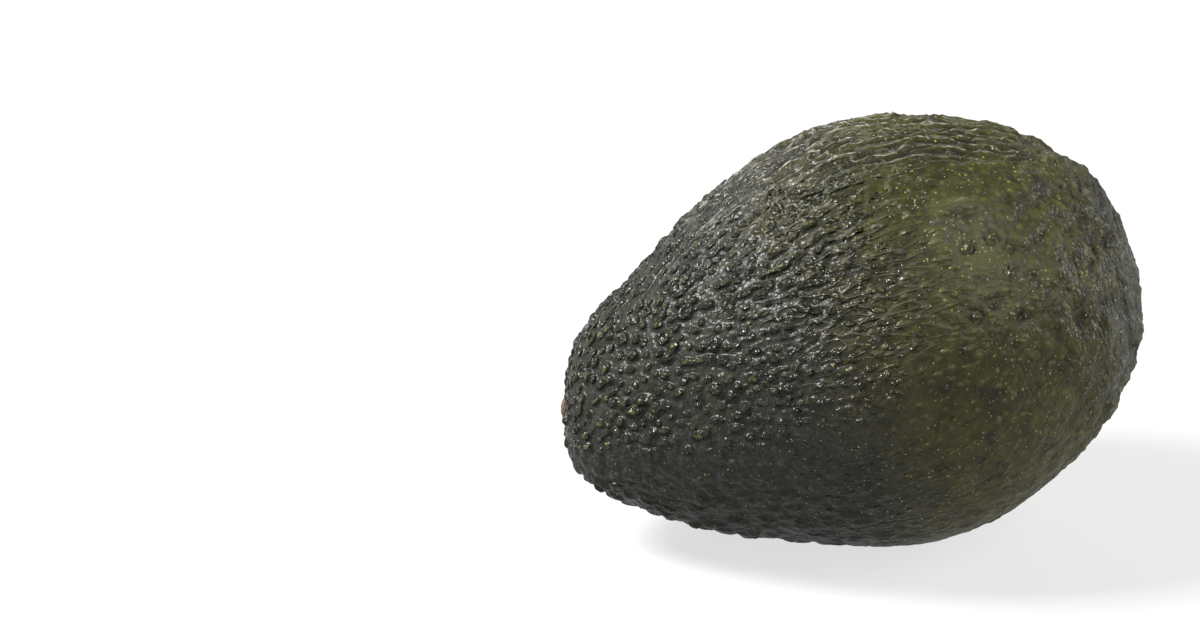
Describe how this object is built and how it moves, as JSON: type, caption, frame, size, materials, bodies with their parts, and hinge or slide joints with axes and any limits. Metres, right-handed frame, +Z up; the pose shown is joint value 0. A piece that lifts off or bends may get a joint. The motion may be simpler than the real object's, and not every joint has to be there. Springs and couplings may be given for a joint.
{
  "type": "avocado",
  "caption": "Whole ripe avocado with dark pebbled skin and a dry woody stem button, lying on its side on a small flat rest spot.",
  "frame": {"origin": "centre of the flat rest spot on the underside, straight under the fruit's centre of mass, on the surface that it lies on", "axes": "+X level, from the narrow stem end to the broad blossom end, with the fruit's long axis dropping 15 degrees towards the stem end; +Y to the side that the stem button leans to; +Z up"},
  "size_m": [0.0999, 0.074, 0.073],
  "materials": {
    "skin": "dark charcoal to olive green pebbled fruit skin, satin with glossy pebble tops, pale yellow-green specks",
    "stem_wood": "dry brown woody button, rough and matte, with a paler torn top"
  },
  "bodies": {
    "root": {"fruit": "skin", "stem_button": "stem_wood"}
  },
  "joints": []
}
